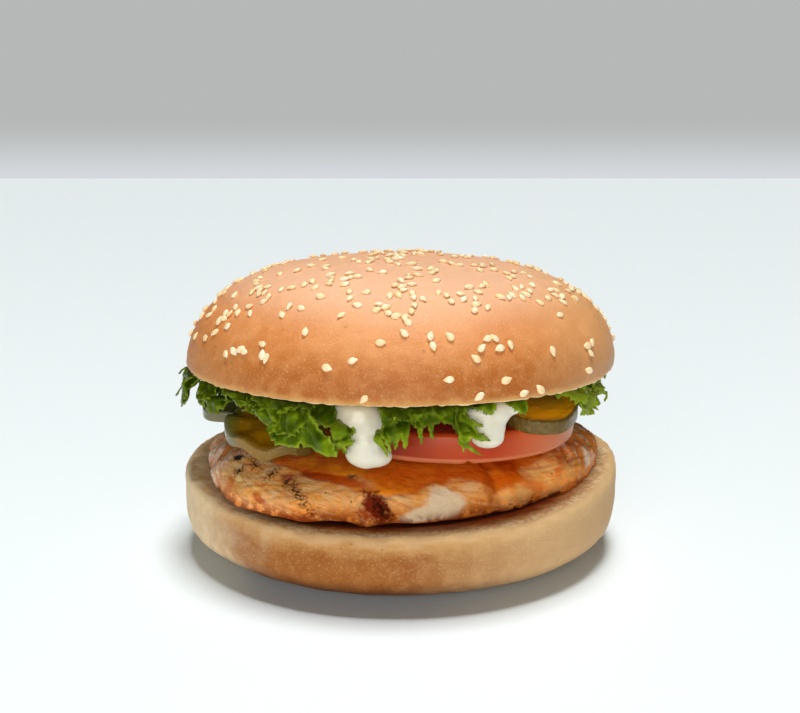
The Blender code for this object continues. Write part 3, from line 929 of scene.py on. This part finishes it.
for name, (tilt, left, thick, wave, waves, droop, seed) in pickle["slices"].items():
    low, high, middle = span(name)
    lean = math.radians(tilt)
    half = Vector(((high.x - low.x) / 2, (high.y - low.y) / 2 / math.cos(lean), thick / 2))

    def pickleSurface(x, y, z):
        across, level = discPoint(x, y, z, *pickle["corner"])
        angle = math.atan2(y, x)
        grow = 1 + 0.02 * math.sin(3 * angle + seed) + 0.012 * math.sin(7 * angle + 2 * seed)
        px, py = half.x * across * grow * math.cos(angle), half.y * across * grow * math.sin(angle)
        height = half.z * level
        height -= 0.45 * smooth(across, 0.93, 0.72) * level
        height += wave * across ** 3 * math.sin(waves * angle + seed)
        height -= droop * smooth(-py / half.y, 0.3, 1.0) - 0.12 * ripple(px, py, height, 2.4, seed)
        return middle - Vector((left, 0, 0)) + Matrix.Rotation(lean, 3, "X") @ Vector((px, py, height))

    piece = ballPiece(name + "_slice", pickle["segments"], pickle["rings"])
    unit = [vertex.co.copy() for vertex in piece.data.vertices]
    sculpt(piece, pickleSurface)
    paint(piece, "rind", [smooth(discPoint(*co, *pickle["corner"])[0], 0.9, 0.96) for co in unit])
    paint(piece, "around", [math.atan2(co.y, co.x) * half.x for co in unit])
    finishPiece(piece, pickleFlesh, "pickle", name)

# mayonnaise: a pool under the crown and two thick drips, run together and smoothed

mayoTop = span("mayonnaise")[1].z
mayo = {"poolRadius": 41.0, "poolThick": 2.0, "grain": 0.5, "softening": 14,
        # each blob: middle, then half sizes
        "blobs": ((-9.6, -43.5, 47.4, 6.2, 7.0, 2.4), (-9.4, -46.8, 44.4, 6.0, 4.2, 5.0),
                  (-8.3, -48.2, 39.4, 3.9, 3.0, 3.4), (-8.2, -47.9, 36.6, 5.0, 3.4, 3.4),
                  (-6.0, -47.7, 36.0, 4.4, 2.9, 2.8), (-8.0, -47.7, 35.2, 3.6, 3.0, 2.3),
                  (21.4, -43.0, 47.8, 7.0, 7.0, 2.2), (20.6, -47.0, 46.2, 6.0, 3.6, 3.2),
                  (25.0, -45.4, 47.4, 5.0, 2.8, 1.9), (20.6, -48.0, 43.2, 4.6, 3.0, 3.4),
                  (20.8, -48.2, 40.8, 4.2, 2.7, 2.8))}

blobs = [ballPiece("blob", 32, 20, Vector(blob[:3]) * mm, Vector(blob[3:]) * mm) for blob in mayo["blobs"]]
pool = ballPiece("pool", 96, 24, Vector((0, 0, mayoTop - mayo["poolThick"] / 2)) * mm,
                 Vector((mayo["poolRadius"], mayo["poolRadius"], mayo["poolThick"] / 2)) * mm)
for vertex in pool.data.vertices:
    angle = math.atan2(vertex.co.y, vertex.co.x)
    swell = 1 + 0.05 * math.sin(5 * angle + 1) + 0.04 * math.sin(8 * angle)
    vertex.co.x *= swell
    vertex.co.y *= swell
mayoPiece = joined("mayonnaise_drips", [pool] + blobs)
modify(mayoPiece, "REMESH", mode="VOXEL", voxel_size=mayo["grain"] * mm, use_smooth_shade=True)
modify(mayoPiece, "SMOOTH", iterations=mayo["softening"], factor=0.6)

mayoCream, tree, shader = newMaterial("mayonnaise_cream", {
    "Roughness": 0.24, "Subsurface Weight": 0.25, "Subsurface Radius": (1.0, 0.8, 0.5),
    "Subsurface Scale": 0.002})
place = millimetres(tree)
across, _, height = axesOf(place)
cloudy = soft(place, 7.0, 0.35, 0.7, 2.0)
tone = blendColour(cloudy, colour(224, 219, 202), colour(216, 209, 186))
# painted shade: darker at the upper left of the drips, under the crown
upper = times(ramp(height, 40.0, 48.0, 0.0, 0.45), ramp(across, 4.0, -4.0))
tone = blendColour(upper, tone, colour(188, 178, 146))
finish(shader, tone, cloudy, 0.1, 0.3, ramp(cloudy, 0.0, 1.0, 0.2, 0.3))
finishPiece(mayoPiece, mayoCream, "mayonnaise", "mayonnaise")

# lettuce: each leaf is a flat sheet between the layers, with toothed fronds that hang at its edge

leaf = {"thick": 0.34, "mesh": 0.6, "frill": 3.2, "bend": 2.2, "top": crown["cut"] - 0.9, "sheetOuter": 51.5}


def toothed(outline, spacing, tooth, dice):
    rim = []
    for (ax, ad), (bx, bd) in zip(outline, outline[1:]):
        length = math.hypot(bx - ax, bd - ad)
        count = max(1, round(length / spacing))
        awayX, awayD = -(bd - ad) / length, (bx - ax) / length
        for i in range(count):
            peak, tall = dice.uniform(0.35, 0.65), tooth * dice.uniform(0.2, 1.2)
            for share, rise in ((0, 0), (peak * 0.6, 0.35), (peak, 1), ((1 + peak) * 0.5, 0.3)):
                t = (i + share) / count
                rim.append((mix(ax, bx, t) + awayX * rise * tall, mix(ad, bd, t) + awayD * rise * tall))
    return rim + [outline[-1]]


def frond(name, angle, height, radius, droop, tooth, spacing, ruffle, crumple, seed, outline):
    dice = random.Random(seed)
    rim = [Vector(point) for point in toothed(outline, spacing, tooth, dice)]
    low = Vector((min(point.x for point in rim), min(point.y for point in rim)))
    high = Vector((max(point.x for point in rim), max(point.y for point in rim)))
    inside = []
    step = leaf["mesh"]
    for row in range(int((high.y - low.y) / step)):
        for column in range(int((high.x - low.x) / step)):
            x = low.x + (column + dice.uniform(0.2, 0.8)) * step
            y = low.y + (row + dice.uniform(0.2, 0.8)) * step
            inside.append(Vector((x, y)))
    edges = [(i, (i + 1) % len(rim)) for i in range(len(rim))]
    flat, _, faces = geometry.delaunay_2d_cdt(rim + inside, edges, [], 1, 1e-4)[:3]
    fullDroop = math.radians(droop)
    curve = leaf["bend"] / fullDroop
    margins, folds, veins, points = [], [], [], []
    for spot in flat:
        gap = min((spot - geometry.intersect_point_line(spot, start, end)[0]).length
                  if 0 < geometry.intersect_point_line(spot, start, end)[1] < 1 else (spot - start).length
                  for start, end in zip(rim, rim[1:]))
        margin = smooth(gap, leaf["frill"], 0.0)
        across, drop = spot
        if drop <= 0:
            ahead, down, beta = drop, 0.0, 0.0
        else:
            beta = min(drop / curve, fullDroop)
            rest = max(0.0, drop - leaf["bend"])
            ahead = curve * math.sin(beta) + rest * math.cos(beta)
            down = curve * (1 - math.cos(beta)) + rest * math.sin(beta)
        free = smooth(drop, -1.5, 2.5)
        wave = 2.4 * crumple * free * noise.noise(Vector((across / 4.2, drop / 5.0, seed)))
        wave += 2.8 * ruffle * margin * noise.noise(Vector((across / 2.8, drop / 3.2, seed + 5)))
        wave += 0.7 * ruffle * margin ** 2 * noise.noise(Vector((across / 1.1, drop / 1.3, seed + 9)))
        shift = 1.2 * ruffle * margin * noise.noise(Vector((across / 2.6, drop / 2.6, seed + 17)))
        out = radius + ahead + wave * math.sin(beta)
        z = height - down + wave * math.cos(beta)
        ceiling = leaf["top"] + 2.4 * smooth(out, 58.6, 60.6)
        z = min(z, ceiling - 0.4 * smooth(ceiling - z, -1.5, -5.0))
        way = math.radians(angle) + (across + shift) / radius
        points.append(Vector((*polar(out, way), z)) * mm)
        margins.append(margin)
        # fold height, used in the leaf colour for painted shade in the troughs and painted light on the
        # crests
        folds.append(min(1.0, max(0.0, 0.5 + wave / 2.4)))
        branch = ((abs(across) - 0.8 * drop) / 2.3) % 1
        midrib = bump(across, 0.3 * math.sin(drop), 0.2)
        veins.append((1 - margin) * max(midrib, 0.6 * bump(branch, 0.5, 0.1)))
    mesh = bpy.data.meshes.new(name)
    mesh.from_pydata(points, [], faces)
    piece = bpy.data.objects.new(name, mesh)
    bpy.context.scene.collection.objects.link(piece)
    paint(piece, "margin", margins)
    paint(piece, "fold", folds)
    paint(piece, "vein", veins)
    return piece


def wildOutline(width, drop, dice, fingers=5):
    points = [(-width / 2, -4.0), (-width / 2, 0.5)]
    for i in range(fingers):
        across = ((i + 0.5) / fingers - 0.5) * width
        depth = drop * (1 - 0.4 * (2 * across / width) ** 2)
        points.append((across, depth * dice.uniform(0.7, 1.15)))
        if i < fingers - 1:
            points.append((across + width / fingers / 2, depth * dice.uniform(0.45, 0.75)))
    return points + [(width / 2, 0.5), (width / 2, -4.0)]


def leafSheet(name, start, end, inner, outer, height, seed):
    piece = gridPiece(name, 90, 12)

    def rule(gx, gy, gz):
        q = (gy + 1) / 2
        angle = math.radians(mix(start, end, (gx + 1) / 2))
        radius = mix(inner, outer * (1 + 0.02 * math.sin(angle * 9 + seed)), q)
        return *polar(radius, angle), height + 0.5 * q * ripple(*polar(20, angle), radius, 9, seed)

    unit = [vertex.co.copy() for vertex in piece.data.vertices]
    sculpt(piece, rule)
    paint(piece, "margin", [0.2 * (co.y + 1) / 2 for co in unit])
    # a flat sheet gets a little painted shade through this value
    paint(piece, "fold", [0.3] * len(unit))
    paint(piece, "vein", [bump(abs(co.x) * 7 % 1, 0.5, 0.08) for co in unit])
    return piece


# each frond: angle, height, radius, droop, tooth, spacing of teeth, ruffle, crumple, seed, outline
# an outline goes down the left side, along the hanging edge and up the right, as (along the rim, down)
fronds = {
    "lettuce_left": [
        # tuft at the far left, with two long points
        (-174, 49.6, 55, 22, 0.5, 1.8, 0.4, 0.5, 1.0,
         ((-4, -5), (-4.6, 1.6), (-2.6, 3.8), (-1, 6.4), (0.6, 4.2), (3, 3), (4, -5))),
        (-172, 48.8, 53.5, 45, 0.4, 2.0, 0.3, 0.4, 2.0,
         ((-3, -4), (-4.4, 4), (-2.8, 7), (-1.4, 11.4), (0.4, 7.4), (3, 6), (4, -4))),
        (-166, 49.2, 56.6, 74, 0.9, 1.8, 0.45, 0.6, 2.5,
         ((-7, -5), (-8.4, 2), (-9.2, 4.6), (-8, 7.6), (-6, 6.8), (-3, 9.8), (0, 8.2), (3, 9.6), (6, 6),
          (7, 2), (7, -5))),
        (-163, 49.4, 55.5, 58, 1.0, 1.8, 0.6, 0.7, 3.0,
         ((-6, -5), (-7, 2), (-4.5, 6.5), (-1, 5.4), (1, 8), (3, 5), (6, 2), (6, -5))),
        (-158, 47.0, 53, 66, 1.3, 2.0, 0.8, 0.7, 4.0,
         ((-6, -4), (-6, 2), (-3, 6.0), (0, 4.0), (2, 6), (5, 3), (6, -4))),
        (-151, 49.2, 55, 66, 1.2, 1.8, 1.1, 0.7, 5.0,
         ((-6, -5), (-6, 1), (-3, 4.4), (0, 3.0), (3, 4.6), (6, 1), (5, -5))),
        (-145, 46.4, 54, 70, 1.2, 1.8, 0.8, 0.7, 7.0,
         ((-4, -4), (-5, 2), (-2.4, 5.4), (0.6, 3.4), (3.4, 1.6), (4, -4))),
        # small frills
        (-137, 49.6, 55.5, 48, 1.0, 1.5, 1.3, 0.7, 8.0,
         ((-5, -5), (-5, 0.8), (-1, 2.6), (2, 1.8), (4.6, 2.2), (5, -5))),
        (-133, 48.6, 54, 66, 1.0, 1.6, 1.0, 0.7, 9.0,
         ((-4, -4), (-4, 1.4), (-1, 3.2), (2, 2.2), (4, 2.6), (4, -4))),
        (-123, 49.6, 55.5, 64, 1.2, 1.9, 0.8, 0.7, 10.0,
         ((-6, -5), (-6, 0.6), (-2, 2.6), (1, 2.4), (4.6, 3.8), (6, 1.2), (6, -5))),
        (-126.5, 46.8, 53.5, 76, 1.1, 1.8, 0.8, 0.7, 11.0,
         ((-3.6, -4), (-3.6, 1.4), (-1, 2.6), (0.4, 4.8), (3, 4.0), (3.2, -4))),
        (-114.6, 49.5, 54.5, 58, 0.9, 1.5, 1.2, 0.7, 12.0,
         ((-4, -5), (-4, 1), (-1.6, 2.4), (0, 1.0), (2.6, 2.4), (3, -5))),
        (-118, 47.8, 54, 72, 1.1, 1.8, 0.9, 0.7, 13.0,
         ((-5, -4), (-5.4, 2.6), (-3.4, 4.6), (-5, 6.6), (1, 7), (4.6, 4), (4, -4))),
        # the broad lobe that hangs over the pickle, and its pointed tip
        (-114.7, 49.2, 53.6, 84, 1.0, 2.4, 0.35, 0.6, 14.0,
         ((-3, -4), (-5.6, 4), (-8.6, 9.6), (-5, 11), (-1.5, 11.2), (0, 10), (2.5, 10.9), (5.5, 12),
          (9.0, 12.4), (7.6, 9.0), (4.4, 6.0), (2.2, 3.0), (1.4, -4))),
        (-105, 41.8, 52.6, 80, 0.8, 1.6, 0.5, 0.7, 15.0,
         ((-2.4, -1), (-1.3, 4.4), (-0.2, 2.6), (1.4, 4.8), (1.2, 2.8), (2.8, 2.6), (1.4, -1))),
        # a leaf deep in the shade beside the left drip
        (-109.5, 48.8, 43.5, 84, 0.6, 2.0, 0.5, 0.7, 17.0,
         ((-9, -4), (-8, 6), (-5, 7), (-2, 8), (1, 6.6), (3.4, 7.6), (5, 4), (5, -4))),
        # curl on the mayonnaise
        (-104.6, 44.6, 51.4, 76, 0.5, 1.0, 1.0, 1.2, 16.0,
         ((-1.9, -1), (-2.3, 3.0), (-1.4, 4.6), (-0.2, 4.2), (0.6, 5.8), (1.6, 4.4), (1.5, 3.4),
          (2.5, 2.8), (2.3, 1.3), (1.0, 0.4), (-0.6, -0.6))),
    ],
    "lettuce_front": [
        (-89.6, 49.7, 55.2, 66, 0.8, 1.3, 0.6, 0.7, 21.0,
         ((-5.0, -5), (-4.8, 1), (-3.6, 2.9), (-1.8, 4.4), (0, 3.2), (2.8, 4.6), (5, 2.2), (5.5, -5))),
        (-91.2, 48.6, 53.4, 84, 0.3, 2.0, 0.6, 0.7, 22.0,
         ((-2.6, -4), (-3.4, 6), (-2.0, 7.2), (-1.4, 10.8), (-0.6, 7), (0.3, 9.6), (1.2, 6), (2.4, 9.4),
          (3.2, 4.5), (4, -4))),
        (-95, 42.8, 52.4, 84, 0.2, 2.0, 0.3, 0.7, 23.0,
         ((-1.0, -2), (-1.3, 2), (2.0, 6.0), (0.4, 1.2), (0.6, -2))),
        (-81.9, 49.2, 51.8, 86, 0.35, 1.6, 0.4, 0.5, 24.0,
         ((-6.5, -4), (-5.6, 4.4), (-3.5, 5.6), (-2.5, 9.6), (-2, 5.6), (-0.9, 5), (0, 8.4), (0.4, 5),
          (2, 4.2), (4.3, 5), (5.5, 6.8), (7, 5.6), (7.5, -4))),
        (-73.5, 49.4, 53.6, 84, 0.4, 1.6, 0.6, 0.7, 25.0,
         ((-2.6, -4), (-2.6, 4), (-2.2, 7), (-1.4, 11.4), (0.4, 8), (2.4, 8.8), (5.8, 9.6), (2.4, 7.2),
          (1.6, 5.4), (3.6, 5.8), (0.6, 3.8), (-0.2, 2.4), (0.2, -4))),
        (-75.0, 42.4, 53.2, 86, 0.05, 3.0, 0.2, 0.3, 26.0,
         ((-0.5, -2), (0.5, 3.2), (2.8, 4.9), (5.4, 6.2), (3.3, 4.3), (1.4, 2.6), (0.5, -2))),
        (-69.4, 49.6, 54.4, 70, 0.6, 0.9, 0.7, 0.7, 27.0,
         ((-2.6, -4), (-2.2, 1.6), (-0.6, 2.2), (1.6, 3.4), (2.6, 1.6), (2.4, -4))),
        (-60.4, 49.4, 53.6, 72, 0.6, 1.0, 0.7, 0.7, 28.0,
         ((-2.4, -4), (-1.4, 1.4), (0.4, 3.2), (1.4, 4.2), (3.4, 3), (2.4, -4))),
    ],
    "lettuce_right": [
        (-38, 49.4, 52.6, 46, 1.0, 1.6, 0.8, 0.7, 31.0,
         ((-5, -5), (-5, 1), (-2, 3), (1, 6.5), (3, 4), (6, 3), (6, -5))),
        (-32, 48.4, 52.0, 58, 1.0, 1.6, 0.8, 0.7, 32.0,
         ((-6, -4), (-5.4, 3), (-2, 8), (0, 5.6), (2.6, 9), (4.6, 5), (6, -4))),
        (-25, 46.8, 52, 72, 1.0, 1.3, 0.9, 0.7, 33.0,
         ((-6, -4), (-5, 3), (-2, 7.5), (1, 5), (4, 7), (6, -4))),
        (-16, 48.6, 52.2, 66, 1.0, 1.3, 1.0, 0.7, 34.0,
         ((-6, -5), (-6, 2), (-2, 6), (1, 4.4), (4, 6.4), (6, -5))),
    ],
}
# an inner row in the shade behind the left fronds, then three uneven rows round the rest of the rim
dice = random.Random(5)
for leafName, first, last, radius, tall, drop in (
        ("lettuce_left", -178, -118, 50.0, 48.6, 5.0),
        ("lettuce_right", -8, 30, 52.0, 48.6, 6.5), ("lettuce_right", 30, 98, 54.5, 49.4, 6.0),
        ("lettuce_right", -8, 98, 51.0, 46.6, 7.0), ("lettuce_right", 8, 98, 48.5, 43.0, 7.0),
        ("lettuce_left", 103, 180, 54.5, 49.4, 6.0), ("lettuce_left", 106, 180, 51.5, 46.6, 7.0),
        ("lettuce_left", 103, 170, 48.5, 43.0, 7.0)):
    angle = first
    while angle < last:
        height, out = tall + dice.uniform(-0.7, 0.1), radius + dice.uniform(-1.0, 1.0)
        outline = wildOutline(dice.uniform(8, 12), drop * dice.uniform(0.6, 1.3), dice)
        droop, ruffle = dice.uniform(48, 78), dice.uniform(0.8, 1.2)
        seed = 100 + angle * 1.3 + tall
        fronds[leafName].append((angle, height, out, droop, 1.3, 1.9, ruffle, 0.9, seed, outline))
        angle += dice.uniform(6.5, 10)
sheets = {"lettuce_left": (103, 250, 13), "lettuce_front": (264, 302, 15), "lettuce_right": (-42, 97, 14)}

lettuceLeaf, tree, shader = newMaterial("lettuce_leaf", {
    "Roughness": 0.3, "Specular IOR Level": 0.38, "Specular Tint": (0.75, 1.0, 0.05, 1),
    "Subsurface Weight": 0.2, "Subsurface Radius": (0.5, 1.0, 0.1), "Subsurface Scale": 0.0015})
place = millimetres(tree)
across, _, height = axesOf(place)
margin = painted(tree, "margin")
vein = painted(tree, "vein")
fold = painted(tree, "fold")
blotch = soft(place, 6.0, 0.4, 0.62, 3.0)
cloudy = soft(place, 1.6, 0.4, 0.7, 4.0)
tone = blendColour(blotch, colour(46, 66, 2), colour(78, 98, 4))
tone = layered(tone,
               # painted shade in the fold troughs and painted light on the fold crests
               (ramp(fold, 0.45, 0.1, 0.0, 0.5), (38, 56, 0)),
               (ramp(fold, 0.5, 0.85, 0.0, 0.65), (116, 140, 14)),
               # paler leaf edges: partly the leaf's own paler rim, partly painted highlight
               (times(ramp(margin, 0.78, 1.0), ramp(cloudy, 0.0, 1.0, 0.3, 0.9)), (160, 180, 48)),
               (times(cloudy, 0.2), (44, 64, 2)))
# painted shade: darker toward the top under the crown, most in the front middle, in the gloom at the front
# left and down the left side
middle = times(ramp(across, -8.0, -3.0), ramp(across, 22.0, 14.0))
gloom = times(ramp(across, -30.0, -22.0), ramp(across, -10.0, -14.0), ramp(height, 45.5, 48.5))
tone = layered(tone,
               (times(ramp(height, 41.0, 46.5), ramp(middle, 0.0, 1.0, 0.2, 0.7)), (30, 44, 0)),
               (times(gloom, 0.7), (24, 32, 0)),
               # painted light: lighter on the right side
               (ramp(across, 26.0, 46.0, 0.0, 0.5), (150, 166, 46)),
               (times(ramp(across, -22.0, -34.0), 0.4), (44, 54, 0)),
               (times(vein, 0.35), (140, 162, 60)))
finish(shader, tone, plus(times(cloudy, 0.6), times(vein, 1.2)), 0.12, 0.5)

for leafName, shapes in fronds.items():
    start, end, inner = sheets[leafName]
    level, seed = leaf["top"] - 1.0, end / 9
    parts = [leafSheet(leafName + "_sheet", start, end, inner, leaf["sheetOuter"], level, seed)]
    parts += [frond(leafName + "_frond", *shape) for shape in shapes]
    piece = joined(leafName + "_leaf", parts)
    modify(piece, "SOLIDIFY", thickness=leaf["thick"] * mm, offset=0.0)
    finishPiece(piece, lettuceLeaf, "lettuce", leafName)

# camera and light

camera = {"place": (0, -0.3033, 0.1100), "pitch": 11.02, "lens": 50.0}

cameraData = bpy.data.cameras.new("camera")
cameraData.lens = camera["lens"]
cameraData.sensor_width = 36.0
cameraObject = bpy.data.objects.new("camera", cameraData)
cameraObject.location = camera["place"]
cameraObject.rotation_euler = (math.radians(90 - camera["pitch"]), 0, 0)
bpy.context.scene.collection.objects.link(cameraObject)
bpy.context.scene.camera = cameraObject

studio = {
    "key": {"kind": "SUN", "place": (0.05, 0.06, 1.0), "size": 0.34, "power": 3.25,
            "colour": (1.0, 0.985, 0.96)},
    "fill": {"kind": "AREA", "place": (-0.12, -0.96, 0.14), "size": 0.7, "power": 7.8,
             "colour": (1.0, 0.985, 0.95)},
}
for lightName, light in studio.items():
    lightData = bpy.data.lights.new(lightName, light["kind"])
    if light["kind"] == "SUN":
        lightData.angle = light["size"]
    else:
        lightData.size = light["size"]
    lightData.energy = light["power"]
    lightData.color = light["colour"]
    lightObject = bpy.data.objects.new(lightName, lightData)
    lightObject.location = light["place"]
    aim = Vector((0, 0, 0.03)) - Vector(light["place"])
    lightObject.rotation_euler = aim.to_track_quat("-Z", "Y").to_euler()
    bpy.context.scene.collection.objects.link(lightObject)

world = bpy.data.worlds.new("studio")
world.use_nodes = True
sky = world.node_tree
direction = addNode(sky, "SeparateXYZ", {0: addNode(sky, "TexCoord").outputs["Generated"]}).outputs
shade = ramp(direction["Z"], -0.04, 0.02)
skyTone = blendColour(shade, (0.80, 0.83, 0.87, 1), (0.55, 0.565, 0.56, 1))
lit = sky.nodes["Background"]
plug(sky, blendColour(shade, (0.84, 0.80, 0.72, 1), (0.55, 0.52, 0.47, 1)), lit.inputs["Color"])
lit.inputs["Strength"].default_value = 0.095
seen = addNode(sky, "Background", {"Color": skyTone, "Strength": 0.85})
toCamera = addNode(sky, "LightPath").outputs["Is Camera Ray"]
either = addNode(sky, "MixShader", {0: toCamera, 1: lit.outputs[0], 2: seen.outputs[0]})
sky.links.new(either.outputs[0], sky.nodes["World Output"].inputs["Surface"])
bpy.context.scene.world = world
bpy.context.scene.view_settings.view_transform = "Standard"

deselect()
bpy.ops.mesh.primitive_plane_add(size=6, location=(0, 0, -0.0003))
floor = started("floor")
floorPaint = newMaterial("pale_floor", {"Roughness": 0.6, "Base Color": colour(231, 240, 244)})[0]
floor.data.materials.append(floorPaint)
